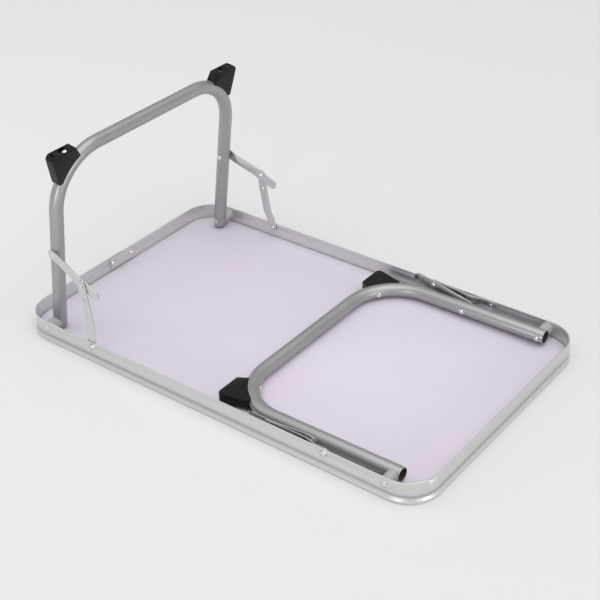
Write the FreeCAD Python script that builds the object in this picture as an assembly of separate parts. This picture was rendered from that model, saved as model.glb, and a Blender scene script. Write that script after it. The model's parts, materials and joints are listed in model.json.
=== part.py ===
import FreeCAD, Part
import math
import os

from FreeCAD import Vector

# Folding low table, lying face down: the tabletop's upper face is at z = 0 and
# the legs stand up from its underside. +X runs along the length, +Y to the rear.
# The origin is the centre of the tabletop's upper face. Millimetres, degrees.

# ---- tabletop and edge rail
table_length = 560.0
table_width = 336.0
corner_radius = 38.0
board_thickness = 6.5
board_gap = 0.1            # board edge to rail web

rail_height = 27.2
rail_wall = 1.4
bead_proud = 1.6           # bead stands out past the web by this much
bead_height = 6.0
bead_round = 1.2           # inset of the bead's top and bottom from its crown
groove_height = 6.0
groove_depth = 0.5
lip_width = 7.0            # lip over the tabletop's upper face, from the bead's crown
lip_thickness = 1.2
ledge_width = 1.2          # ledge that holds the board's underside
ledge_thickness = 0.9
seam_gap = 0.4             # butt joint of the bent rail

splice_length = 42.0
splice_height = 15.0
splice_thickness = 1.5
splice_below_rim = 1.4
splice_rivet_spacing = 33.0

# ---- legs
tube_diameter = 16.0
tube_wall = 1.0
leg_reach = 216.2          # pivot axis to the centre line of the bar
leg_bend_radius = 63.0     # at the tube's centre line
tube_tail = 7.5            # tube beyond the pivot axis
side_gap = 12.0            # tube to rail, each side
pivot_inset = 42.5         # table end to leg pivot axis
turning_clearance = 0.5    # tube end to board while the leg turns
leg_open_angle = 97.3      # from lying flat to stay straight
left_leg_angle = 81.8      # left leg as it stands here
folded_tube_gap = 1.5      # folded bar to board, at the feet's ends

# ---- feet
foot_step = 1.6            # foot's flat face below the tube's crown
foot_proud_end = 2.5       # beyond the bar
foot_proud_side = 1.0      # beyond the leg tube
foot_arm_bar = 35.0        # outer corner to the end along the bar
foot_arm_leg = 37.3        # outer corner to the end along the leg
foot_side_slope = 9.5      # how far the outer side comes in along the leg
foot_bar_angle = 26.0      # ends of the foot on the bend, from the leg's direction
foot_leg_angle = 55.0
foot_corner_radius = 5.5
foot_edge_radius = 1.0
foot_channel_gap = 0.05
foot_pocket_radius = 5.2
foot_pocket_floor = 14.5   # plastic between pocket and tube
foot_rivet_angle = 35.0    # along the bend, from the leg's direction
foot_slot_offset = 4.5     # slot from the outer corner
foot_slot_width = 2.2
foot_slot_length = 8.0
foot_slot_depth = 3.0

# ---- folding stays
stay_rail_offset = 74.1    # leg pivot to rail rivet, towards the middle
stay_rivet_below_rim = 6.2
stay_leg_offset = 98.3     # leg pivot to leg rivet, along the leg
stay_play = 0.5            # slack that lets the folded knee pass the line of centres
link_width = 12.0
link_thickness = 1.5
tab_length = 26.5          # finger tab beyond the knee
upper_joggle = (11.0, 44.0)    # start and end of the joggle from the leg rivet
lower_joggle = (12.0, 26.0)    # start and end of the joggle from the rail rivet
snap_hole_radius = 2.0
snap_hole_offset = 19.0    # from the knee
knee_lift_front = 1.0      # folded knee above the leg's line, front side
knee_lift_rear = 8.0       # folded knee above the leg's line, rear side

# ---- bushes, rivets and fits
bush_diameter = 14.0
pivot_rivet_radius = 2.5
stay_rivet_radius = 2.0
foot_rivet_radius = 2.0
splice_rivet_radius = 2.0
rail_head_radius = 4.2
small_head_radius = 3.3
head_height = 1.4
head_rim = 0.35            # straight edge under a rivet head's dome
running_clearance = 0.05   # radial, pin in hole
face_gap = 0.3             # between pieces that slide past each other

# ---- derived sizes
rail_depth = bead_proud + rail_wall
board_face = lip_thickness + board_thickness
rail_inner_y = table_width / 2 - rail_depth
rail_web_y = table_width / 2 - bead_proud
tube_radius = tube_diameter / 2
leg_half_span = rail_inner_y - side_gap - tube_radius
tube_outer_y = leg_half_span + tube_radius
tube_inner_y = leg_half_span - tube_radius
pivot_x = table_length / 2 - pivot_inset
pivot_z = board_face + math.hypot(tube_tail, tube_radius) + turning_clearance
bend_centre_s = leg_reach - leg_bend_radius
bend_centre_y = leg_half_span - leg_bend_radius
foot_reach = leg_reach + tube_radius + foot_proud_end
foot_side_y = tube_outer_y + foot_proud_side
foot_thickness = tube_diameter - 2 * foot_step
folded_drop = pivot_z - tube_radius - board_face - folded_tube_gap
folded_angle = -math.degrees(math.asin(folded_drop / foot_reach))
rail_rivet_x = -pivot_x + stay_rail_offset
rail_rivet_z = rail_height - stay_rivet_below_rim
knee_mid_y = (tube_outer_y + rail_inner_y) / 2

UP = Vector(0, 0, 1)
LEG_TURN = Vector(0, -1, 0)    # positive turn lifts +X towards +Z


# ---------------------------------------------------------------- stay geometry
def leg_rivet(leg_angle):
    """Leg end of the stay, as (x, z), for a left leg at this angle."""
    turn = math.radians(leg_angle)
    return (-pivot_x + stay_leg_offset * math.cos(turn),
            pivot_z + stay_leg_offset * math.sin(turn))


def stay_span(leg_angle):
    x, z = leg_rivet(leg_angle)
    return math.hypot(x - rail_rivet_x, z - rail_rivet_z)


open_span = stay_span(leg_open_angle)
folded_span = stay_span(folded_angle)
upper_length = (open_span - folded_span + stay_play) / 2
lower_length = (open_span + folded_span - stay_play) / 2


def direction(start, end):
    return math.degrees(math.atan2(end[1] - start[1], end[0] - start[0]))


def stay_angles(leg_angle, knee_lift):
    """Angles of the lower and upper links above +X, and the knee as (x, z)."""
    foot = (rail_rivet_x, rail_rivet_z)
    top = leg_rivet(leg_angle)
    span = stay_span(leg_angle)
    if leg_angle < 0.5 * leg_open_angle:
        # Folded: the knee lies beyond the leg rivet, in line with the leg.
        upper = math.radians(knee_lift)
        knee = (top[0] + upper_length * math.cos(upper), top[1] + upper_length * math.sin(upper))
        lower_angle = direction(foot, knee)
    else:
        # Open: the lower link, the upper link and the span close a triangle.
        inner = (lower_length ** 2 + span ** 2 - upper_length ** 2) / (2 * lower_length * span)
        lower_angle = direction(foot, top) - math.degrees(math.acos(min(1.0, inner)))
    lower = math.radians(lower_angle)
    knee = (foot[0] + lower_length * math.cos(lower), foot[1] + lower_length * math.sin(lower))
    return lower_angle, direction(top, knee), knee


# ---------------------------------------------------------------- small helpers
def polygon_face(points):
    return Part.Face(Part.makePolygon(points + [points[0]]))


def along_y(shape, x, y, z):
    """Stands a shape that was built about +Z on the +Y axis at a point."""
    shape.rotate(Vector(0, 0, 0), Vector(1, 0, 0), -90)
    shape.translate(Vector(x, y, z))
    return shape


def rod_y(radius, x, z, y_from, y_to):
    return along_y(Part.makeCylinder(radius, y_to - y_from), x, y_from, z)


def rivet_head(radius):
    """Low dome on the XY plane, crown towards +Z."""
    rise = head_height - head_rim
    ball_radius = (radius ** 2 + rise ** 2) / (2 * rise)
    ball = Part.makeSphere(ball_radius, Vector(0, 0, head_height - ball_radius))
    return Part.makeCylinder(radius, head_height).common(ball).Solids[0]


def head_out(radius, x, y, z):
    """Rivet head facing +Y, its flat at y."""
    return along_y(rivet_head(radius), x, y, z)


def head_in(radius, x, y, z):
    """Rivet head facing -Y, its flat at y."""
    return along_y(rivet_head(radius), 0, 0, 0).mirror(Vector(0, 0, 0), Vector(0, 1, 0)).translated(
        Vector(x, y, z))


def joined(*shapes):
    result = shapes[0].fuse(list(shapes[1:])).removeSplitter()
    return result.Solids[0] if len(result.Solids) == 1 else result


def at_leg(shape, leg_angle):
    """Places a shape from the leg's own frame: pivot at the origin, leg along +X."""
    shape.rotate(Vector(0, 0, 0), LEG_TURN, leg_angle)
    shape.translate(Vector(-pivot_x, 0, pivot_z))
    return shape


# ---------------------------------------------------------------- tabletop
def rounded_plate(length, width, radius, z_from, thickness):
    half_l, half_w = length / 2, width / 2
    plate = Part.makeBox(length, width, thickness, Vector(-half_l, -half_w, z_from))
    corners = [edge for edge in plate.Edges
               if abs(edge.Vertexes[0].Z - edge.Vertexes[-1].Z) > thickness / 2]
    return plate.makeFillet(radius, corners)


def tabletop_board():
    inset = rail_depth + board_gap
    return rounded_plate(table_length - 2 * inset, table_width - 2 * inset,
                         corner_radius - inset, lip_thickness, board_thickness)


def rail_section(x):
    """Rail section in the XZ plane with its bead's crown at x, inside towards -X."""
    def at(inset, z):
        return Vector(x - inset, 0, z)

    groove_top = bead_height + groove_height
    rim_drop = rail_wall / 2
    web, inside = bead_proud, rail_depth
    bead_low, bead_high = at(bead_round, 0), at(bead_round, bead_height)
    web_low, web_high = at(web, groove_top), at(web, rail_height - rim_drop)
    inner_high = at(inside, rail_height - rim_drop)
    edges = [Part.Arc(bead_low, at(0, bead_height / 2), bead_high).toShape(),
             Part.Arc(bead_high, at(web + groove_depth, bead_height + groove_height / 2),
                      web_low).toShape(),
             Part.LineSegment(web_low, web_high).toShape(),
             Part.Arc(web_high, at(web + rail_wall / 2, rail_height), inner_high).toShape()]
    inner_side = [inner_high,
                  at(inside, board_face + ledge_thickness),
                  at(inside + ledge_width, board_face + ledge_thickness),
                  at(inside + ledge_width, board_face),
                  at(inside, board_face),
                  at(inside, lip_thickness),
                  at(lip_width, lip_thickness),
                  at(lip_width, 0),
                  bead_low]
    edges += Part.makePolygon(inner_side).Edges
    return Part.Face(Part.Wire(edges))


def edge_rail():
    half_l, half_w = table_length / 2, table_width / 2
    straight_l = table_length - 2 * corner_radius
    straight_w = table_width - 2 * corner_radius
    bend = rail_section(corner_radius).revolve(Vector(0, 0, 0), UP, 90)
    pieces = []
    for quarter in range(4):
        centre_x = (half_l - corner_radius) * (1 if quarter in (0, 3) else -1)
        centre_y = (half_w - corner_radius) * (1 if quarter in (0, 1) else -1)
        corner = bend.copy()
        corner.rotate(Vector(0, 0, 0), UP, 90 * quarter)
        corner.translate(Vector(centre_x, centre_y, 0))
        pieces.append(corner)
        reach, run = (half_w, straight_l) if quarter % 2 else (half_l, straight_w)
        side = rail_section(reach).extrude(Vector(0, run, 0))
        side.translate(Vector(0, -run / 2, 0))
        side.rotate(Vector(0, 0, 0), UP, 90 * quarter)
        pieces.append(side)
    rail = joined(*pieces)
    seam = Part.makeBox(2 * lip_width, seam_gap, 2 * rail_height,
                        Vector(-half_l - lip_width / 2, -seam_gap / 2, -rail_height / 2))
    cuts = [seam] + splice_holes()
    for side in (1, -1):
        for end in (1, -1):
            cuts.append(rod_y(pivot_rivet_radius, end * pivot_x, pivot_z,
                              *sorted((side * rail_inner_y * 0.9, side * table_width * 0.6))))
            cuts.append(rod_y(stay_rivet_radius, end * rail_rivet_x, rail_rivet_z,
                              *sorted((side * rail_inner_y * 0.9, side * table_width * 0.6))))
    return rail.cut(cuts).Solids[0]


def splice_plate_z():
    return rail_height - splice_below_rim - splice_height


def splice_rivet_z():
    return splice_plate_z() + splice_height / 2


def splice_rod(radius, y, x_from, x_to):
    rod = Part.makeCylinder(radius, x_to - x_from, Vector(x_from, y, splice_rivet_z()),
                            Vector(1, 0, 0))
    return rod


def splice_holes():
    inner_x = -table_length / 2 + rail_depth
    return [splice_rod(splice_rivet_radius, side * splice_rivet_spacing / 2,
                       inner_x - 2 * rail_depth, inner_x + 2 * splice_thickness)
            for side in (-1, 1)]


def rail_splice_plate():
    inner_x = -table_length / 2 + rail_depth
    plate = Part.makeBox(splice_thickness, splice_length, splice_height,
                         Vector(inner_x, -splice_length / 2, splice_plate_z()))
    ends = [edge for edge in plate.Edges
            if abs(edge.Vertexes[0].X - edge.Vertexes[-1].X) > splice_thickness / 2]
    return plate.makeFillet(splice_thickness, ends).cut(splice_holes())


def splice_rivets():
    web_x = -table_length / 2 + bead_proud
    plate_x = -table_length / 2 + rail_depth + splice_thickness
    rivets = []
    for side in (-1, 1):
        y = side * splice_rivet_spacing / 2
        shank = splice_rod(splice_rivet_radius, y, web_x, plate_x)
        inner = rivet_head(small_head_radius)
        inner.rotate(Vector(0, 0, 0), Vector(0, 1, 0), 90)
        inner.translate(Vector(plate_x, y, splice_rivet_z()))
        outer = rivet_head(small_head_radius)
        outer.rotate(Vector(0, 0, 0), Vector(0, 1, 0), -90)
        outer.translate(Vector(web_x, y, splice_rivet_z()))
        rivets.append(joined(shank, inner, outer))
    return Part.makeCompound(rivets)


# ---------------------------------------------------------------- legs
def leg_path():
    """Centre line of the U-shaped tube in the leg's own frame."""
    radius, half, reach = leg_bend_radius, leg_half_span, leg_reach
    back_off = radius * (1 - math.sqrt(0.5))

    def side(sign):
        straight_end = Vector(reach - radius, sign * half, 0)
        arc_middle = Vector(reach - back_off, sign * (half - back_off), 0)
        arc_end = Vector(reach, sign * (half - radius), 0)
        return straight_end, arc_middle, arc_end

    near, far = side(-1), side(1)
    edges = [Part.LineSegment(Vector(-tube_tail, -half, 0), near[0]),
             Part.Arc(*near),
             Part.LineSegment(near[2], far[2]),
             Part.Arc(far[2], far[1], far[0]),
             Part.LineSegment(far[0], Vector(-tube_tail, half, 0))]
    return Part.Wire([edge.toShape() for edge in edges])


def leg_sweep(radius):
    start = Vector(-tube_tail, -leg_half_span, 0)
    ring = Part.Wire(Part.makeCircle(radius, start, Vector(1, 0, 0)))
    return leg_path().makePipeShell([ring], True, False)


def leg_tube():
    tube = leg_sweep(tube_radius).cut(leg_sweep(tube_radius - tube_wall))
    reach = leg_half_span + 2 * tube_radius
    pivot_hole = rod_y(pivot_rivet_radius + running_clearance, 0, 0, -reach, reach)
    stay_hole = rod_y(stay_rivet_radius, stay_leg_offset, 0, -reach, reach)
    foot_holes = [foot_rod(foot_rivet_radius, side, 0, leg_bend_radius + 2 * tube_radius)
                  for side in (-1, 1)]
    return tube.cut([pivot_hole, stay_hole] + foot_holes).Solids[0]


def foot_rod(radius, side, near, far):
    """Rod on the foot rivet's axis, between two distances from the bend's centre."""
    turn = math.radians(foot_rivet_angle)
    axis = Vector(math.cos(turn), side * math.sin(turn), 0)
    start = Vector(bend_centre_s, side * bend_centre_y, 0) + axis * near
    return Part.makeCylinder(radius, far - near, start, axis)


def foot_seat():
    return leg_bend_radius + tube_radius + foot_pocket_floor


def foot():
    """Corner foot on the rear bend, in the leg's own frame."""
    half = foot_thickness / 2
    end, side = foot_reach, foot_side_y

    def on_bend(angle):
        turn = math.radians(angle)
        return Vector(bend_centre_s + leg_bend_radius * math.cos(turn),
                      bend_centre_y + leg_bend_radius * math.sin(turn), -half)

    outline = [Vector(end, side - foot_arm_bar, -half),
               Vector(end, side, -half),
               Vector(end - foot_arm_leg, side - foot_side_slope, -half),
               on_bend(foot_leg_angle),
               on_bend(foot_bar_angle)]
    wedge = polygon_face(outline).extrude(Vector(0, 0, foot_thickness))
    corner = [edge for edge in wedge.Edges
              if all(abs(v.X - end) < 1e-6 and abs(v.Y - side) < 1e-6 for v in edge.Vertexes)]
    wedge = wedge.makeFillet(foot_corner_radius, corner)

    def on_outer_rim(edge):
        middle = edge.CenterOfMass
        return (abs(abs(middle.z) - half) < 1e-6
                and math.hypot(middle.x - bend_centre_s, middle.y - bend_centre_y)
                > leg_bend_radius + 2 * tube_radius)

    wedge = wedge.makeFillet(foot_edge_radius, [e for e in wedge.Edges if on_outer_rim(e)])
    channel = leg_sweep(tube_radius + foot_channel_gap)
    pocket = foot_rod(foot_pocket_radius, 1, foot_seat(), 2 * leg_bend_radius)
    rivet_hole = foot_rod(foot_rivet_radius, 1, leg_bend_radius, 2 * leg_bend_radius)
    slot = Part.makeBox(2 * foot_slot_depth, foot_slot_width, foot_slot_length,
                        Vector(end - foot_slot_depth, side - foot_slot_offset - foot_slot_width,
                               -foot_slot_length / 2))
    return max(wedge.cut([channel, pocket, rivet_hole, slot]).Solids, key=lambda s: s.Volume)


def foot_rivet():
    """Rivet through the foot and both walls of the bend."""
    inner = math.sqrt((leg_bend_radius - tube_radius) ** 2 - small_head_radius ** 2)
    turn = Vector(0, 0, 1)
    outer_head = rivet_head(small_head_radius)
    inner_head = rivet_head(small_head_radius)
    outer_head.rotate(Vector(0, 0, 0), Vector(0, 1, 0), 90)
    inner_head.rotate(Vector(0, 0, 0), Vector(0, 1, 0), -90)
    outer_head.translate(Vector(foot_seat(), 0, 0))
    inner_head.translate(Vector(inner, 0, 0))
    for head in (outer_head, inner_head):
        head.rotate(Vector(0, 0, 0), turn, foot_rivet_angle)
        head.translate(Vector(bend_centre_s, bend_centre_y, 0))
    return joined(foot_rod(foot_rivet_radius, 1, inner, foot_seat()), outer_head, inner_head)


def leg_bush():
    """Bush between the tube and the rail, its end saddled to the tube."""
    body = rod_y(bush_diameter / 2, 0, 0, leg_half_span, rail_inner_y - face_gap)
    tube = Part.makeCylinder(tube_radius, 4 * bush_diameter,
                             Vector(-2 * bush_diameter, leg_half_span, 0), Vector(1, 0, 0))
    bore = rod_y(pivot_rivet_radius + running_clearance, 0, 0, leg_half_span, table_width)
    return body.cut([tube, bore]).Solids[0]


def pivot_rivet():
    """Rivet through rail, bush and tube: the leg's hinge pin."""
    inner_y = tube_inner_y - face_gap
    return joined(rod_y(pivot_rivet_radius, -pivot_x, pivot_z, inner_y, rail_web_y),
                  head_out(rail_head_radius, -pivot_x, rail_web_y, pivot_z),
                  head_in(small_head_radius, -pivot_x, inner_y, pivot_z))


def stay_leg_rivet():
    """Rivet of the stay in the leg tube, in the leg's own frame."""
    return joined(rod_y(stay_rivet_radius, stay_leg_offset, 0, tube_inner_y,
                        tube_outer_y - face_gap),
                  head_in(small_head_radius, stay_leg_offset, tube_inner_y, 0))


# ---------------------------------------------------------------- stays
def link_strip(length, end_y, knee_y, joggle, tab):
    """Flat strip from its riveted end at the origin to the knee, with a joggle."""
    half = link_width / 2
    thick = link_thickness
    tip = length + (tab if tab else half)
    start, stop = joggle
    profile = [Vector(-half, end_y, -half), Vector(start, end_y, -half),
               Vector(stop, knee_y, -half), Vector(tip, knee_y, -half),
               Vector(tip, knee_y + thick, -half), Vector(stop, knee_y + thick, -half),
               Vector(start, end_y + thick, -half), Vector(-half, end_y + thick, -half)]
    strip = polygon_face(profile).extrude(Vector(0, 0, link_width))
    low_y = min(end_y, knee_y)
    depth = abs(end_y - knee_y) + thick
    outline = joined(Part.makeBox(tip - half, depth, link_width, Vector(0, low_y, -half)),
                     rod_y(half, 0, 0, low_y, low_y + depth),
                     rod_y(half, tip - half, 0, low_y, low_y + depth))
    return strip.common(outline)


def lower_link():
    """Rail rivet to knee; the rail side of the knee."""
    end_y = rail_inner_y - face_gap - link_thickness
    knee_y = knee_mid_y + face_gap / 2
    strip = link_strip(lower_length, end_y, knee_y, lower_joggle, 0)
    bore = stay_rivet_radius + running_clearance
    holes = [rod_y(bore, 0, 0, 0, table_width), rod_y(bore, lower_length, 0, 0, table_width),
             rod_y(snap_hole_radius, lower_length - snap_hole_offset, 0, 0, table_width)]
    return strip.cut(holes).Solids[0]


def upper_link():
    """Leg rivet to knee and on to the finger tab; the leg side of the knee."""
    end_y = tube_outer_y + face_gap
    knee_y = knee_mid_y - face_gap / 2 - link_thickness
    strip = link_strip(upper_length, end_y, knee_y, upper_joggle, tab_length)
    holes = [rod_y(stay_rivet_radius, x, 0, 0, table_width) for x in (0, upper_length)]
    return strip.cut(holes).Solids[0]


def upper_link_rivet():
    """Rivet head at the link's leg end; it rides on the tube with a small gap."""
    inner_y = tube_outer_y + face_gap
    outer_y = inner_y + link_thickness
    return joined(rod_y(stay_rivet_radius, 0, 0, inner_y, outer_y),
                  head_out(small_head_radius, 0, outer_y, 0))


def knee_rivet():
    """Knee pin, fast in the upper link, running in the lower link."""
    inner_y = knee_mid_y - face_gap / 2 - link_thickness
    outer_y = knee_mid_y + face_gap / 2 + link_thickness + face_gap
    return joined(rod_y(stay_rivet_radius, upper_length, 0, inner_y, outer_y),
                  head_out(small_head_radius, upper_length, outer_y, 0),
                  head_in(small_head_radius, upper_length, inner_y, 0))


def stay_rail_rivet():
    inner_y = rail_inner_y - link_thickness - 2 * face_gap
    return joined(rod_y(stay_rivet_radius, rail_rivet_x, rail_rivet_z, inner_y, rail_web_y),
                  head_out(rail_head_radius, rail_rivet_x, rail_web_y, rail_rivet_z),
                  head_in(small_head_radius, rail_rivet_x, inner_y, rail_rivet_z))


def at_lower_link(shape, angle):
    shape.rotate(Vector(0, 0, 0), LEG_TURN, angle)
    shape.translate(Vector(rail_rivet_x, 0, rail_rivet_z))
    return shape


def at_upper_link(shape, angle, knee):
    """Places the upper link by its knee, so that the knee is the closed pivot."""
    shape.translate(Vector(-upper_length, 0, 0))
    shape.rotate(Vector(0, 0, 0), LEG_TURN, angle)
    shape.translate(Vector(knee[0], 0, knee[1]))
    return shape


# ---------------------------------------------------------------- assembly
def corner_pieces(leg_angle, knee_lift):
    """All pieces of the rear corner at the left end."""
    lower_angle, upper_angle, knee = stay_angles(leg_angle, knee_lift)
    return {
        "pivot_rivet": pivot_rivet(),
        "leg_bush": at_leg(leg_bush(), leg_angle),
        "foot": at_leg(foot(), leg_angle),
        "foot_rivet": at_leg(foot_rivet(), leg_angle),
        "stay_leg_rivet": at_leg(stay_leg_rivet(), leg_angle),
        "stay_rail_rivet": stay_rail_rivet(),
        "lower_link": at_lower_link(lower_link(), lower_angle),
        "upper_link": at_upper_link(upper_link(), upper_angle, knee),
        "upper_link_rivet": at_upper_link(upper_link_rivet(), upper_angle, knee),
        "knee_rivet": at_upper_link(knee_rivet(), upper_angle, knee),
    }


def to_right(shape):
    return shape.mirror(Vector(0, 0, 0), Vector(1, 0, 0))


def to_front(shape):
    return shape.mirror(Vector(0, 0, 0), Vector(0, 1, 0))


def all_nodes():
    nodes = {
        "tabletop_board": tabletop_board(),
        "edge_rail": edge_rail(),
        "rail_splice_plate": rail_splice_plate(),
        "splice_rivets": splice_rivets(),
    }
    for end, leg_angle in (("left", left_leg_angle), ("right", folded_angle)):
        tube = at_leg(leg_tube(), leg_angle)
        nodes[end + "_leg_tube"] = to_right(tube) if end == "right" else tube
        for side, knee_lift in (("rear", knee_lift_rear), ("front", knee_lift_front)):
            for name, shape in corner_pieces(leg_angle, knee_lift).items():
                shape = to_front(shape) if side == "front" else shape
                shape = to_right(shape) if end == "right" else shape
                nodes["_".join((end, side, name))] = shape
    return nodes


def main():
    os.makedirs("parts", exist_ok=True)
    for name, shape in all_nodes().items():
        assert shape.isValid(), name
        shape.exportStep("parts/" + name + ".step")
    for end, leg_angle in (("left", left_leg_angle), ("right", folded_angle)):
        for side, lift in (("rear", knee_lift_rear), ("front", knee_lift_front)):
            lower, upper, knee = stay_angles(leg_angle, lift)
            print(end, side, "lower link %.2f, upper link %.2f, knee %.2f %.2f"
                  % (lower, upper, knee[0], knee[1]))
    print("links %.2f %.2f, folded angle %.3f, pivot %.3f %.3f, rail rivet %.3f %.3f"
          % (upper_length, lower_length, folded_angle, pivot_x, pivot_z, rail_rivet_x,
             rail_rivet_z))


main()
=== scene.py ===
"""Folding low table, face down with one leg raised: the finished looks around its frame."""
import json
import math

import bmesh
import bpy
from bpy.props import FloatProperty, FloatVectorProperty, PointerProperty
from bpy.types import Operator, Panel, PropertyGroup
from mathutils import Matrix, Vector


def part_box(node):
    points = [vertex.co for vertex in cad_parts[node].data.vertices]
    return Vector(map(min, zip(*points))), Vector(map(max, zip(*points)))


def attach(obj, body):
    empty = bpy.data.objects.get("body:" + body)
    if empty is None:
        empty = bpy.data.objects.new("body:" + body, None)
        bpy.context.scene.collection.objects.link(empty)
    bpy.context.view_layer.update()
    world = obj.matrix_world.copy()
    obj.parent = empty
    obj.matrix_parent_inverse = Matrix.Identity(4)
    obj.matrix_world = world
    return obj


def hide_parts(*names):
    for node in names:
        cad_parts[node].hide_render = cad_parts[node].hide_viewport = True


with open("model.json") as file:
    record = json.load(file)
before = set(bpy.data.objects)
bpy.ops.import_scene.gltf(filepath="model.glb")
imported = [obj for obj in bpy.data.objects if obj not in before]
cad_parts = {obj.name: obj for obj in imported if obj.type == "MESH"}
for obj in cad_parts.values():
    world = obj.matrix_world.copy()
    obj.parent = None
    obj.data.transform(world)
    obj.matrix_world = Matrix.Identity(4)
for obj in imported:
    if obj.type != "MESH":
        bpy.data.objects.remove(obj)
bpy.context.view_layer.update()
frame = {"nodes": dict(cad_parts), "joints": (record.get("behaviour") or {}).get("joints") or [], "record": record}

bl_info = {
    "name": "Folding Low Table",
    "version": (1, 0, 0),
    "blender": (4, 5, 0),
    "location": "3D View > Sidebar > Table",
    "description": "Finished pieces of a folding low table with an aluminium edge rail",
    "category": "Object",
}

JOINTS = {joint["name"]: joint for joint in frame["joints"]}
ENDS = ("left", "right")
CORNERS = [(end, side) for end in ENDS for side in ("front", "rear")]
MILLIMETRE = 0.001
ALONG_X, ALONG_Y, ALONG_Z = Vector((1, 0, 0)), Vector((0, 1, 0)), Vector((0, 0, 1))

# Merging and flattening of the frame's triangles, in metres and degrees.
MERGE_WITHIN = 0.000002
FLAT_WITHIN = 0.5

# Turns between faces, in degrees, over which an edge is eased, and is shaded sharp.
EASED_ABOVE = 40.0
TUBE_END_ABOVE = 60.0
SHARP_ABOVE = 35.0

TUBE_SIDES = 64
BEND_STEPS = 32
HEAD_SIDES = 48

# Heights of the painted shade in the rail's outer groove: faces, then its rise and its fade.
GROOVE = (6 * MILLIMETRE, 12 * MILLIMETRE)
GROOVE_SHADE_RISE = (6.2 * MILLIMETRE, 7.5 * MILLIMETRE)
GROOVE_SHADE_FADE = (9.5 * MILLIMETRE, 11.8 * MILLIMETRE)

# The painted shadow line round a head: how deep its loops lie, as shares of the head's height.
LINE_FOOT, LINE_SHOULDER, LINE_TOP = 1.0, 0.7, 0.42

# The room's brightness by height, from the level of the floor (0) to overhead (1).
ROOM = ((0.02, 0.8), (0.25, 0.85), (0.42, 0.4), (0.6, 0.4), (0.85, 0.75))

# Softboxes by name, place, size and power; strip lights by name and bearing in degrees.
SOFTBOXES = (("overhead_softbox", (-0.1, 0.1, 2.4), 3.6, 17.0),
             ("side_softbox", (-1.7, -0.9, 1.2), 1.2, 5.0))
STRIPS = (("left_strip", -80.0), ("right_strip", -8.0))
STRIP_DISTANCE, STRIP_HEIGHT = 2.0, 0.3
STRIP_WIDTH, STRIP_LENGTH = 0.2, 0.55
SUN_STRENGTH = 0.9
SUN_SPREAD, SUN_TILT, SUN_LEAN = 70.0, 9.0, 24.0
FLOOR_REACH = 6.0


# ---------------------------------------------------------------- settings
class TableSizes(PropertyGroup):
    """Sizes that the looks add to the frame's own."""
    tube_bend: FloatProperty(
        name="Leg bend", description="Radius of a leg's bends, at the tube's centre line",
        default=0.063, min=0.02, unit="LENGTH")
    tube_wall: FloatProperty(
        name="Tube wall", description="Wall of the leg tubes",
        default=0.001, min=0.0004, unit="LENGTH")
    pressed_edge: FloatProperty(
        name="Pressed edge", description="Rounding of the stays' stamped edges",
        default=0.00025, min=0.00005, unit="LENGTH")
    moulded_edge: FloatProperty(
        name="Moulded edge", description="Rounding of plastic edges that the mould leaves",
        default=0.0003, min=0.00005, unit="LENGTH")
    rail_head: FloatProperty(
        name="Rail head", description="Height of the rivet heads on the rail",
        default=0.0014, min=0.0005, unit="LENGTH")
    # Width of the painted shadow ring round a head on the rail.
    head_shadow_line: FloatProperty(
        name="Head line", description="Width of the dark line round a head on the rail",
        default=0.0009, min=0.0001, unit="LENGTH")
    rail_edge: FloatProperty(
        name="Rail edge", description="Rounding that the die leaves on the rail's corners",
        default=0.0003, min=0.00005, unit="LENGTH")
    board_edge: FloatProperty(
        name="Board edge", description="Rounding of the board's edges",
        default=0.0005, min=0.0001, unit="LENGTH")


class TableColours(PropertyGroup):
    """Base colours of the finishes."""
    board: FloatVectorProperty(
        name="Board", description="Laminate on the board's underside",
        default=(0.725, 0.67, 0.76), size=3, min=0, max=1, subtype="COLOR")
    rail: FloatVectorProperty(
        name="Rail", description="Satin aluminium of the edge rail",
        default=(0.66, 0.667, 0.657), size=3, min=0, max=1, subtype="COLOR")
    leg: FloatVectorProperty(
        name="Leg", description="Silver-grey paint of the leg tubes",
        default=(0.40, 0.406, 0.40), size=3, min=0, max=1, subtype="COLOR")
    stay: FloatVectorProperty(
        name="Stay", description="Zinc plating of the folding stays",
        default=(0.67, 0.68, 0.667), size=3, min=0, max=1, subtype="COLOR")
    rivet: FloatVectorProperty(
        name="Rivet", description="Bright steel of the rivets",
        default=(0.78, 0.78, 0.79), size=3, min=0, max=1, subtype="COLOR")
    foot: FloatVectorProperty(
        name="Foot", description="Charcoal plastic of the corner feet",
        default=(0.006, 0.006, 0.0065), size=3, min=0, max=1, subtype="COLOR")
    bush: FloatVectorProperty(
        name="Bush", description="Light grey plastic of the bushes",
        default=(0.42, 0.42, 0.425), size=3, min=0, max=1, subtype="COLOR")
    floor: FloatVectorProperty(
        name="Floor", description="Pale studio floor",
        default=(0.79, 0.79, 0.79), size=3, min=0, max=1, subtype="COLOR")


def sizes():
    return bpy.context.scene.table_sizes


def colours():
    return bpy.context.scene.table_colours


# ---------------------------------------------------------------- shader maths
class Signal:
    """A shader socket that takes part in Python arithmetic; each step adds a Math node."""

    def __init__(self, finish, socket):
        self.finish = finish
        self.socket = socket

    def maths(self, operation, *values):
        return self.finish.node("ShaderNodeMath", {"operation": operation},
                                dict(enumerate(values)))

    def __add__(self, other):
        return self.maths("ADD", self, other)

    __radd__ = __add__

    def __mul__(self, other):
        return self.maths("MULTIPLY", self, other)

    __rmul__ = __mul__


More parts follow.
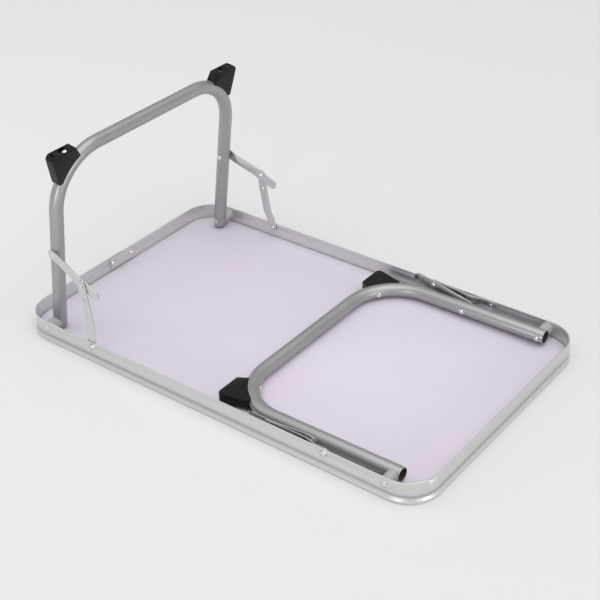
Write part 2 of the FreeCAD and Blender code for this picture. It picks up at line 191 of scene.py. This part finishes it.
class Finish:
    """A material in the making: a Principled shader and the nodes that vary it."""

    def __init__(self, name, **constants):
        self.material = bpy.data.materials.new(name)
        self.material.use_nodes = True
        self.tree = self.material.node_tree
        self.shader = self.tree.nodes["Principled BSDF"]
        self.set(**constants)

    def set(self, **values):
        """Sets or links the shader's own sockets; an underscore stands for a space."""
        for name, value in values.items():
            self.connect(self.shader.inputs[name.replace("_", " ")], value)

    def connect(self, socket, value):
        if isinstance(value, Signal):
            self.tree.links.new(value.socket, socket)
        elif socket.type == "RGBA":
            socket.default_value = (*value, 1.0)
        else:
            socket.default_value = value

    def node(self, kind, settings=None, inputs=None, output=0):
        """Adds a node: its settings first, then the values or links of its sockets."""
        node = self.tree.nodes.new(kind)
        for name, value in (settings or {}).items():
            setattr(node, name, value)
        for name, value in (inputs or {}).items():
            self.connect(node.inputs[name], value)
        return Signal(self, node.outputs[output])

    def place(self, stretch=(1, 1, 1)):
        """Object coordinates, stretched per axis."""
        spot = self.node("ShaderNodeTexCoord", output="Object")
        return self.node("ShaderNodeMapping", None, {"Vector": spot, "Scale": stretch})

    def height(self):
        """Height above the floor."""
        spot = self.node("ShaderNodeTexCoord", output="Object")
        return self.node("ShaderNodeSeparateXYZ", None, {"Vector": spot}, "Z")

    def noise(self, scale, detail=2.0, roughness=0.5, stretch=(1, 1, 1)):
        return self.node("ShaderNodeTexNoise", None,
                         {"Vector": self.place(stretch), "Scale": scale, "Detail": detail,
                          "Roughness": roughness}, "Fac")

    def between(self, signal, low, high, start=0.0, end=1.0):
        """Carries the signal's low..high onto start..end, held at both ends."""
        return self.node("ShaderNodeMapRange", None,
                         {"Value": signal, "From Min": low, "From Max": high,
                          "To Min": start, "To Max": end})

    def blend(self, factor, first, second):
        """Mixes two colours."""
        sockets = {0: factor, 6: first, 7: second}
        return self.node("ShaderNodeMix", {"data_type": "RGBA"}, sockets, 2)

    def bump(self, height, depth):
        return self.node("ShaderNodeBump", None,
                         {"Height": height, "Distance": depth, "Strength": 1.0})


def shade(colour, factor):
    """A colour made darker or lighter by a factor."""
    return tuple(min(1.0, channel * factor) for channel in colour)


# ---------------------------------------------------------------- finishes
def laminate():
    """Smooth pale lavender laminate with faint clouding."""
    base = colours().board
    finish = Finish("pale_lavender_laminate", IOR=1.45)
    clouds = finish.between(finish.noise(5.0, 3.0), 0.35, 0.65)
    rosy = (base[0] * 1.012, base[1] * 0.995, base[2])
    cool = (base[0] * 0.99, base[1] * 1.005, base[2] * 1.005)
    grain = finish.noise(900.0, 2.0)
    finish.set(Base_Color=finish.blend(clouds, cool, rosy),
               Roughness=finish.between(grain, 0.3, 0.7, 0.42, 0.5),
               Normal=finish.bump(grain, 0.00002))
    return finish.material


def satin_aluminium(name, groove_shaded=False):
    """Extruded aluminium: fine lines along the rail, soft scuffs, painted shade darkening its outer groove."""
    base = colours().rail
    finish = Finish(name, Metallic=0.78, Anisotropic=0.5)
    lines = finish.noise(1.0, 4.0, 0.6, (6, 6, 2600))
    scuffs = finish.between(finish.noise(28.0, 4.0, 0.6), 0.56, 0.7)
    brushed = finish.blend(lines, shade(base, 0.93), shade(base, 1.06))
    # Painted shade: a darker band low on the rail's outer face, standing in for the shade above the bead.
    if groove_shaded:
        height = finish.height()
        groove_shade = (finish.between(height, *GROOVE_SHADE_RISE)
                * finish.between(height, *GROOVE_SHADE_FADE, 1.0, 0.0))
        brushed = finish.blend(groove_shade * 0.6, brushed, shade(base, 0.45))
    finish.set(Base_Color=brushed,
               Roughness=finish.between(lines, 0.3, 0.7, 0.34, 0.42) + scuffs * 0.06,
               Normal=finish.bump(lines, 0.00008))
    return finish.material


def leg_paint():
    """Satin silver-grey metallic paint with a fine flake."""
    base = colours().leg
    finish = Finish("silver_grey_paint", Metallic=0.8)
    flake = finish.noise(2400.0, 1.0)
    drift = finish.noise(14.0, 3.0)
    finish.set(Base_Color=finish.blend(flake * 0.6 + drift * 0.4, shade(base, 0.9),
                                       shade(base, 1.1)),
               Roughness=finish.between(drift, 0.35, 0.65, 0.41, 0.46),
               Normal=finish.bump(flake, 0.00001))
    return finish.material


def bore_steel_and_shade():
    """Dull dark steel inside the leg tubes; its near-black colour is partly painted shade for the dark inside of
    the bore.
    """
    finish = Finish("tube_bore", Metallic=0.6)
    mill = finish.noise(120.0, 4.0, 0.65)
    # Partly painted shade: the bore's colour is kept near black to stand in for the shade inside the tube.
    finish.set(Base_Color=finish.blend(mill, (0.03, 0.03, 0.033), (0.09, 0.085, 0.08)),
               Roughness=finish.between(mill, 0.3, 0.7, 0.5, 0.7))
    return finish.material


def zinc_plate():
    """Bright zinc plating with a soft mottle and fine handling scratches."""
    base = colours().stay
    finish = Finish("bright_zinc", Metallic=1.0)
    mottle = finish.noise(160.0, 3.0, 0.6)
    scratches = finish.between(finish.noise(1.0, 3.0, 0.7, (70, 70, 1400)), 0.6, 0.72)
    finish.set(Base_Color=finish.blend(mottle, shade(base, 0.95), shade(base, 1.04)),
               Roughness=finish.between(mottle, 0.3, 0.7, 0.22, 0.28) + scratches * 0.08,
               Normal=finish.bump(mottle, 0.000004))
    return finish.material


def bright_steel():
    """Set rivets: bright steel, a little dulled where the die met them."""
    base = colours().rivet
    finish = Finish("bright_rivet_steel", Metallic=1.0)
    die_marks = finish.noise(700.0, 3.0, 0.6)
    finish.set(Base_Color=finish.blend(die_marks, shade(base, 0.88), shade(base, 1.08)),
               Roughness=finish.between(die_marks, 0.3, 0.7, 0.14, 0.26),
               Normal=finish.bump(die_marks, 0.00003))
    return finish.material


def painted_head_shadow():
    """Near-black painted shadow for the ring at the edge of a set head, where the head meets the rail."""
    finish = Finish("painted_head_shadow", IOR=1.4)
    spots = finish.noise(900.0, 3.0, 0.6)
    finish.set(Base_Color=finish.blend(spots, (0.02, 0.02, 0.02), (0.05, 0.05, 0.05)),
               Roughness=finish.between(spots, 0.3, 0.7, 0.5, 0.7))
    return finish.material


def charcoal_plastic():
    """Satin charcoal plastic with a fine moulded grain."""
    base = colours().foot
    finish = Finish("charcoal_plastic", IOR=1.3)
    grain = finish.noise(1500.0, 2.0, 0.6)
    wear = finish.between(finish.noise(60.0, 4.0, 0.6), 0.5, 0.75)
    finish.set(Base_Color=finish.blend(wear, base, shade(base, 1.7)),
               Roughness=finish.between(grain, 0.3, 0.7, 0.34, 0.46),
               Normal=finish.bump(grain, 0.00006))
    return finish.material


def bush_plastic():
    """Light grey plastic, faintly mottled."""
    base = colours().bush
    finish = Finish("light_grey_plastic", IOR=1.47)
    mottle = finish.noise(240.0, 3.0)
    finish.set(Base_Color=finish.blend(mottle, shade(base, 0.94), shade(base, 1.05)),
               Roughness=finish.between(mottle, 0.3, 0.7, 0.4, 0.52),
               Normal=finish.bump(mottle, 0.00004))
    return finish.material


# ---------------------------------------------------------------- reading the frame
def centre(node):
    low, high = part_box(node)
    return (low + high) / 2


def extent(node, origin, direction):
    """Lowest and highest reach of a node from a point, along a direction."""
    reaches = [(vertex.co - origin).dot(direction)
               for vertex in frame["nodes"][node].data.vertices]
    return min(reaches), max(reaches)


class LegPlace:
    """Where one leg stands: its hinge, and its own frame with X along the leg."""

    def __init__(self, end):
        self.tube = end + "_leg_tube"
        self.pivot = Vector(JOINTS[end + "_leg_fold"]["pos_m"])
        to_rivet = centre(end + "_rear_stay_leg_rivet") - self.pivot
        self.along = Vector((to_rivet.x, 0, to_rivet.z)).normalized()
        self.across = self.along.cross(ALONG_Y)
        self.tail, far = extent(self.tube, self.pivot, self.along)
        self.radius = extent(self.tube, self.pivot, self.across)[1]
        self.reach = far - self.radius
        self.half_span = extent(self.tube, self.pivot, ALONG_Y)[1] - self.radius

    def matrix(self):
        turned = Matrix((self.along, ALONG_Y, self.across)).transposed().to_4x4()
        return Matrix.Translation(self.pivot) @ turned


# ---------------------------------------------------------------- mesh helpers
def new_piece(name, mesh, materials, body, slot, *nodes):
    """Makes a finished piece of a mesh: it rides on a body and stands for CAD nodes."""
    data = bpy.data.meshes.new(name)
    mesh.to_mesh(data)
    mesh.free()
    for material in materials:
        data.materials.append(material)
    data.shade_smooth()
    data.set_sharp_from_angle(angle=math.radians(SHARP_ABOVE))
    piece = bpy.data.objects.new(name, data)
    bpy.context.scene.collection.objects.link(piece)
    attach(piece, body)
    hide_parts(*nodes)
    return piece


def body_of(node):
    bodies = frame["record"]["behaviour"]["bodies"]
    return next(body for body, nodes in bodies.items() if node in nodes)


def extruded(mesh, edges, offset):
    """Draws a loop of edges out by an offset and returns the far loop."""
    drawn = bmesh.ops.extrude_edge_only(mesh, edges=edges)["geom"]
    moved = {item for item in drawn if isinstance(item, bmesh.types.BMVert)}
    bmesh.ops.translate(mesh, verts=list(moved), vec=offset)
    return [item for item in drawn
            if isinstance(item, bmesh.types.BMEdge) and moved.issuperset(item.verts)]


def bent(mesh, edges, centre_point, axis, angle, steps):
    """Turns a loop of edges about an axis and returns the far loop."""
    last = bmesh.ops.spin(mesh, geom=edges, cent=centre_point, axis=axis, dvec=(0, 0, 0),
                          angle=angle, steps=steps, use_merge=False,
                          use_duplicate=False)["geom_last"]
    return [item for item in last if isinstance(item, bmesh.types.BMEdge)]


def ringed(mesh, outer, inner):
    """Fills the ring between a loop of edges and a loop that lies inside it."""
    inside = {vertex for edge in inner for vertex in edge.verts}
    partner = {vertex: min(inside, key=lambda other: (other.co - vertex.co).length)
               for edge in outer for vertex in edge.verts}
    for edge in outer:
        start, end = edge.verts
        mesh.faces.new((start, end, partner[end], partner[start]))


def rounded(mesh, edges, width):
    bmesh.ops.bevel(mesh, geom=edges, offset=width, offset_type="OFFSET", affect="EDGES",
                    segments=2, profile=0.5, material=-1, clamp_overlap=True)


def sharp_edges(mesh, above):
    """Edges whose faces turn by more than an angle in degrees, outside corners only."""
    return [edge for edge in mesh.edges
            if edge.is_manifold and edge.calc_face_angle_signed(0.0) > math.radians(above)]


def solid_copy(node):
    """A merged copy of a CAD node with its flat faces made whole again."""
    mesh = bmesh.new()
    mesh.from_mesh(frame["nodes"][node].data)
    bmesh.ops.remove_doubles(mesh, verts=mesh.verts, dist=MERGE_WITHIN)
    bmesh.ops.dissolve_limit(mesh, angle_limit=math.radians(FLAT_WITHIN), verts=mesh.verts,
                             edges=mesh.edges, use_dissolve_boundaries=False)
    return mesh


def softened(name, node, material, slot, edge_width):
    """A CAD node's own shape with its outside edges eased."""
    mesh = solid_copy(node)
    rounded(mesh, sharp_edges(mesh, EASED_ABOVE), edge_width)
    return new_piece(name, mesh, [material], body_of(node), slot, node)


# ---------------------------------------------------------------- pieces
class TABLE_OT_board(Operator):
    """Tabletop board with its laminate"""
    bl_idname = "table.board"
    bl_label = "Board"

    def execute(self, context):
        softened("lavender_board", "tabletop_board", laminate(), "board", sizes().board_edge)
        return {"FINISHED"}


class TABLE_OT_edge_rail(Operator):
    """Bent aluminium edge rail with its splice plate"""
    bl_idname = "table.edge_rail"
    bl_label = "Edge Rail"

    def execute(self, context):
        metal = satin_aluminium("satin_aluminium")
        rail = softened("rail_extrusion", "edge_rail", metal, "rail_aluminium",
                        sizes().rail_edge)
        # Painted shade: outward faces in the groove take the finish with the darker band.
        rail.data.materials.append(satin_aluminium("groove_shaded_aluminium", groove_shaded=True))
        for face in rail.data.polygons:
            outward = face.normal.dot(Vector((face.center.x, face.center.y, 0))) > 0
            if outward and GROOVE[0] < face.center.z < GROOVE[1]:
                face.material_index = 1
        softened("rail_splice", "rail_splice_plate", metal, "rail_aluminium",
                 sizes().pressed_edge)
        return {"FINISHED"}


class TABLE_OT_leg_tubes(Operator):
    """The two bent leg tubes, open at their ends"""
    bl_idname = "table.leg_tubes"
    bl_label = "Leg Tubes"

    def execute(self, context):
        paint, bore = leg_paint(), bore_steel_and_shade()
        for end, name in (("left", "raised_leg"), ("right", "folded_leg")):
            place = LegPlace(end)
            mesh = bmesh.new()
            outer = self.swept(mesh, place, place.radius)
            outside_faces = len(mesh.faces)
            inner = self.swept(mesh, place, place.radius - sizes().tube_wall)
            mesh.faces.ensure_lookup_table()
            for face in mesh.faces[outside_faces:]:
                face.material_index = 1
            for outer_loop, inner_loop in zip(outer, inner):
                ringed(mesh, outer_loop, inner_loop)
            bmesh.ops.recalc_face_normals(mesh, faces=mesh.faces)
            rounded(mesh, sharp_edges(mesh, TUBE_END_ABOVE), sizes().tube_wall / 4)
            bmesh.ops.transform(mesh, matrix=place.matrix(), verts=mesh.verts)
            new_piece(name, mesh, [paint, bore], end + "_leg", "leg_paint", place.tube)
        return {"FINISHED"}

    def swept(self, mesh, place, radius):
        """One wall of the tube in the leg's own frame; returns its two end loops."""
        bend = sizes().tube_bend
        straight = place.reach - bend - place.tail
        start = Matrix.Translation((place.tail, -place.half_span, 0))
        known = set(mesh.edges)
        bmesh.ops.create_circle(mesh, radius=radius, segments=TUBE_SIDES,
                                matrix=start @ Matrix.Rotation(math.pi / 2, 4, "Y"))
        first = [edge for edge in mesh.edges if edge not in known]
        corner = Vector((place.reach - bend, bend - place.half_span, 0))
        loop = extruded(mesh, first, ALONG_X * straight)
        loop = bent(mesh, loop, corner, ALONG_Z, math.pi / 2, BEND_STEPS)
        loop = extruded(mesh, loop, ALONG_Y * 2 * (place.half_span - bend))
        corner.y = -corner.y
        loop = bent(mesh, loop, corner, ALONG_Z, math.pi / 2, BEND_STEPS)
        last = extruded(mesh, loop, ALONG_X * -straight)
        return first, last


class TABLE_OT_stays(Operator):
    """The pressed links of the folding stays"""
    bl_idname = "table.stays"
    bl_label = "Folding Stays"

    def execute(self, context):
        zinc = zinc_plate()
        for end, side in CORNERS:
            for link in ("lower_link", "upper_link"):
                node = "_".join((end, side, link))
                softened(node + "_pressed", node, zinc, "stay_zinc", sizes().pressed_edge)
        return {"FINISHED"}


class TABLE_OT_rivets(Operator):
    """All rivets: pivots, stays, feet and splice"""
    bl_idname = "table.rivets"
    bl_label = "Rivets"

    def execute(self, context):
        steel, head_shadow_finish = bright_steel(), painted_head_shadow()
        rivets = [node for node in frame["nodes"] if node.endswith(("_rivet", "_rivets"))]
        for node in rivets:
            mesh = solid_copy(node)
            # Painted shadow: the heads on the rail get a dark ring round their edge.
            if node.endswith(("_pivot_rivet", "_stay_rail_rivet")):
                self.head_shadow_line(mesh, node)
            new_piece(node + "_set", mesh, [steel, head_shadow_finish], body_of(node), "rivet_steel",
                      node)
        return {"FINISHED"}

    def head_shadow_line(self, mesh, node):
        """Painted shadow: a dark ring where a head's edge meets the rail, standing in for the shade there."""
        low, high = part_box(node)
        radius = (high.z - low.z) / 2
        outward = ALONG_Y * math.copysign(1, centre(node).y)
        crown = centre(node)
        crown.y = high.y if crown.y > 0 else low.y
        turned = outward.to_track_quat("Z", "Y").to_matrix().to_4x4()
        known = len(mesh.faces)
        loops = []
        proud = radius + sizes().head_shadow_line / 8
        rings = ((proud, LINE_FOOT), (proud, LINE_SHOULDER),
                 (radius - sizes().head_shadow_line, LINE_TOP))
        for reach, sink in rings:
            spot = Matrix.Translation(crown - outward * sizes().rail_head * sink) @ turned
            edges = set(mesh.edges)
            bmesh.ops.create_circle(mesh, radius=reach, segments=HEAD_SIDES, matrix=spot)
            loops.append([edge for edge in mesh.edges if edge not in edges])
        ringed(mesh, loops[0], loops[1])
        ringed(mesh, loops[1], loops[2])
        mesh.faces.ensure_lookup_table()
        for face in mesh.faces[known:]:
            face.material_index = 1
            face.normal_update()
            side = face.calc_center_median() - crown
            side -= outward * side.dot(outward)
            if face.normal.dot(outward * radius + side) < 0:
                face.normal_flip()


class TABLE_OT_feet(Operator):
    """The moulded corner feet"""
    bl_idname = "table.feet"
    bl_label = "Feet"

    def execute(self, context):
        plastic = charcoal_plastic()
        for end, side in CORNERS:
            node = "_".join((end, side, "foot"))
            softened(node + "_moulded", node, plastic, "foot_plastic", sizes().moulded_edge)
        return {"FINISHED"}


class TABLE_OT_bushes(Operator):
    """The bushes between leg and rail"""
    bl_idname = "table.bushes"
    bl_label = "Bushes"

    def execute(self, context):
        plastic = bush_plastic()
        for end, side in CORNERS:
            node = "_".join((end, side, "leg_bush"))
            softened(node + "_moulded", node, plastic, "bush_plastic", sizes().moulded_edge)
        return {"FINISHED"}


# ---------------------------------------------------------------- studio
class StudioView(PropertyGroup):
    """Camera and light of the studio."""
    azimuth: FloatProperty(
        name="Azimuth", description="Side the camera looks from; zero looks along +Y",
        default=math.radians(38.54), subtype="ANGLE")
    elevation: FloatProperty(
        name="Elevation", description="How far the camera looks down",
        default=math.radians(32.94), subtype="ANGLE")
    roll: FloatProperty(
        name="Roll", description="Tilt of the camera about its own axis",
        default=math.radians(-2.08), subtype="ANGLE")
    distance: FloatProperty(
        name="Distance", description="Camera to the point it aims at",
        default=1.588, unit="LENGTH")
    aim: FloatVectorProperty(
        name="Aim", description="Point on the floor that the camera aims at",
        default=(-0.0486, 0.0715, 0.0), size=3, subtype="TRANSLATION")
    lens: FloatProperty(
        name="Lens", description="Focal length in millimetres on a 36 mm sensor",
        default=78.2, min=20)
    strip_power: FloatProperty(
        name="Strip lights", description="Power of the two low strip lights", default=6.0)
    sky: FloatProperty(
        name="Sky", description="Brightness of the room around the table", default=0.80)


def studio():
    return bpy.context.scene.table_studio


def floor_finish():
    finish = Finish("studio_floor", Roughness=0.9)
    drift = finish.noise(1.2, 2.0)
    pale = colours().floor
    finish.set(Base_Color=finish.blend(drift, shade(pale, 0.99), shade(pale, 1.01)))
    return finish.material


class TABLE_OT_studio(Operator):
    """Pale floor, soft light and the camera"""
    bl_idname = "table.studio"
    bl_label = "Studio"

    def execute(self, context):
        self.floor()
        self.room()
        for softbox in SOFTBOXES:
            self.softbox(*softbox)
        for strip in STRIPS:
            self.strip(*strip)
        self.sun()
        self.camera()
        return {"FINISHED"}

    def floor(self):
        mesh = bmesh.new()
        bmesh.ops.create_grid(mesh, x_segments=1, y_segments=1, size=FLOOR_REACH)
        data = bpy.data.meshes.new("floor")
        mesh.to_mesh(data)
        mesh.free()
        data.materials.append(floor_finish())
        floor = bpy.data.objects.new("floor", data)
        bpy.context.scene.collection.objects.link(floor)

    def room(self):
        """A room with a bright wall, a darker band above it and a paler ceiling."""
        world = bpy.data.worlds.new("studio_room")
        bpy.context.scene.world = world
        world.use_nodes = True
        tree = world.node_tree
        spot = tree.nodes.new("ShaderNodeTexCoord")
        parts = tree.nodes.new("ShaderNodeSeparateXYZ")
        ramp = tree.nodes.new("ShaderNodeValToRGB")
        stops = ramp.color_ramp.elements
        for _ in range(len(ROOM) - len(stops)):
            stops.new(1.0)
        for stop, (height, grey) in zip(stops, ROOM):
            stop.position, stop.color = height, (grey, grey, grey, 1.0)
        tree.links.new(spot.outputs["Generated"], parts.inputs[0])
        tree.links.new(parts.outputs["Z"], ramp.inputs["Fac"])
        back = tree.nodes["Background"]
        tree.links.new(ramp.outputs["Color"], back.inputs["Color"])
        back.inputs["Strength"].default_value = studio().sky

    def softbox(self, name, spot, size, power):
        light = bpy.data.lights.new(name, "AREA")
        light.shape = "DISK"
        light.size = size
        light.energy = power
        lamp = bpy.data.objects.new(name, light)
        lamp.location = spot
        lamp.rotation_euler = (-Vector(spot)).to_track_quat("-Z", "Y").to_euler()
        bpy.context.scene.collection.objects.link(lamp)

    def strip(self, name, bearing):
        """Low upright strip light that the rail's corner mirrors as a soft streak."""
        turn = math.radians(bearing)
        light = bpy.data.lights.new(name, "AREA")
        light.shape = "RECTANGLE"
        light.size, light.size_y = STRIP_WIDTH, STRIP_LENGTH
        light.energy = studio().strip_power
        lamp = bpy.data.objects.new(name, light)
        spot = Vector((STRIP_DISTANCE * math.cos(turn), STRIP_DISTANCE * math.sin(turn),
                       STRIP_HEIGHT))
        lamp.location = spot
        lamp.rotation_euler = (-spot).to_track_quat("-Z", "Y").to_euler()
        bpy.context.scene.collection.objects.link(lamp)

    def sun(self):
        """Broad even light that keeps the floor the same all over."""
        light = bpy.data.lights.new("even_light", "SUN")
        light.energy = SUN_STRENGTH
        light.angle = math.radians(SUN_SPREAD)
        lamp = bpy.data.objects.new("even_light", light)
        lamp.rotation_euler = (math.radians(SUN_TILT), math.radians(SUN_LEAN), 0)
        bpy.context.scene.collection.objects.link(lamp)

    def camera(self):
        view = studio()
        ahead = Vector((-math.sin(view.azimuth) * math.cos(view.elevation),
                        math.cos(view.azimuth) * math.cos(view.elevation),
                        -math.sin(view.elevation)))
        level = ahead.cross(ALONG_Z).normalized()
        upright = level.cross(ahead)
        right = level * math.cos(view.roll) + upright * math.sin(view.roll)
        up = upright * math.cos(view.roll) - level * math.sin(view.roll)
        spot = Vector(view.aim) - ahead * view.distance
        data = bpy.data.cameras.new("camera")
        data.lens = view.lens
        data.sensor_width = 36.0
        camera = bpy.data.objects.new("camera", data)
        camera.matrix_world = (Matrix.Translation(spot)
                               @ Matrix((right, up, -ahead)).transposed().to_4x4())
        bpy.context.scene.collection.objects.link(camera)
        bpy.context.scene.camera = camera
        bpy.context.scene.view_settings.view_transform = "Standard"


# ---------------------------------------------------------------- add-on
PIECES = (TABLE_OT_board, TABLE_OT_edge_rail, TABLE_OT_leg_tubes, TABLE_OT_stays,
          TABLE_OT_rivets, TABLE_OT_feet, TABLE_OT_bushes, TABLE_OT_studio)


class TABLE_PT_pieces(Panel):
    """Lists the table's settings and pieces"""
    bl_idname = "TABLE_PT_pieces"
    bl_label = "Folding Table"
    bl_space_type = "VIEW_3D"
    bl_region_type = "UI"
    bl_category = "Table"

    def draw(self, context):
        for group in (sizes(), colours(), studio()):
            for name in group.__annotations__:
                self.layout.prop(group, name)
        for piece in PIECES:
            self.layout.operator(piece.bl_idname)


GROUPS = {"table_sizes": TableSizes, "table_colours": TableColours,
          "table_studio": StudioView}


def register():
    for group in (*GROUPS.values(), *PIECES, TABLE_PT_pieces):
        bpy.utils.register_class(group)
    for name, group in GROUPS.items():
        setattr(bpy.types.Scene, name, PointerProperty(type=group))


def unregister():
    for name in GROUPS:
        delattr(bpy.types.Scene, name)
    for group in (TABLE_PT_pieces, *reversed(PIECES), *reversed(GROUPS.values())):
        bpy.utils.unregister_class(group)


def main():
    register()
    for piece in PIECES:
        group, name = piece.bl_idname.split(".")
        getattr(getattr(bpy.ops, group), name)()


if __name__ == "__main__":
    main()
